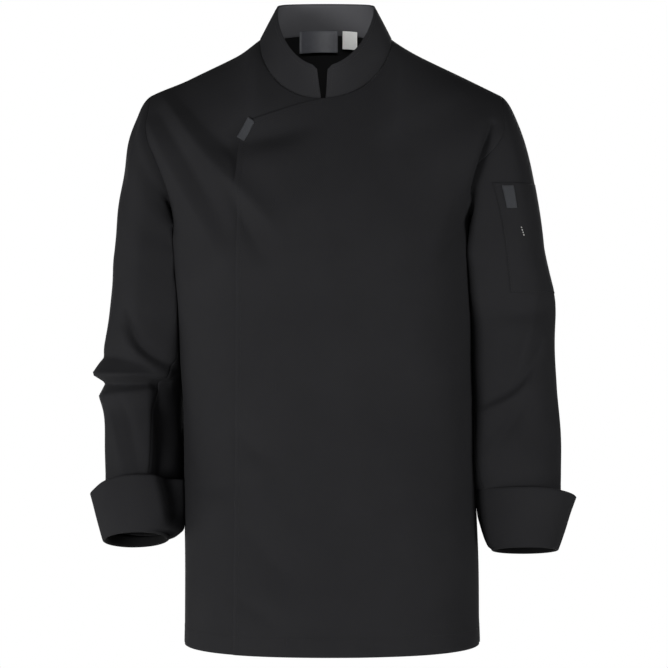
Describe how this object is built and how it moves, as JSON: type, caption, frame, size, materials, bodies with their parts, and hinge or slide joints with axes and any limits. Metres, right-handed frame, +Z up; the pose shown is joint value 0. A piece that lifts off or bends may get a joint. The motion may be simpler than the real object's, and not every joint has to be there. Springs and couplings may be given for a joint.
{
  "type": "chef jacket",
  "caption": "Long-sleeved black chef jacket filled out with nobody in it: stand collar, hidden asymmetric front closing, turned-back cuffs and a pen pocket on the sleeve.",
  "frame": {"origin": "midway between the two points where the shoulder seams meet the collar; the wearer holds the jacket there", "axes": "+X to the wearer's left, -Y to the front, +Z up the back of the neck"},
  "size_m": [0.6025, 0.263, 0.8026],
  "materials": {
    "jacket_cloth": "black polycotton twill",
    "facing_cloth": "charcoal collar lining twill",
    "grey_tape": "grey herringbone tape",
    "dark_label": "dark woven satin label, bare",
    "white_label": "white woven label, bare"
  },
  "bodies": {
    "root": {"back_panel": "jacket_cloth", "left_front_panel": "jacket_cloth", "right_front_panel": "jacket_cloth", "right_sleeve_top": "jacket_cloth", "right_sleeve_under": "jacket_cloth", "right_cuff": "jacket_cloth", "left_sleeve_top": "jacket_cloth", "left_sleeve_under": "jacket_cloth", "left_cuff": "jacket_cloth", "collar_stand": "jacket_cloth", "sleeve_pocket": "jacket_cloth", "collar_facing": "facing_cloth", "sleeve_tape": "grey_tape", "front_tape": "grey_tape", "neck_label": "dark_label", "size_label": "white_label"}
  },
  "joints": []
}
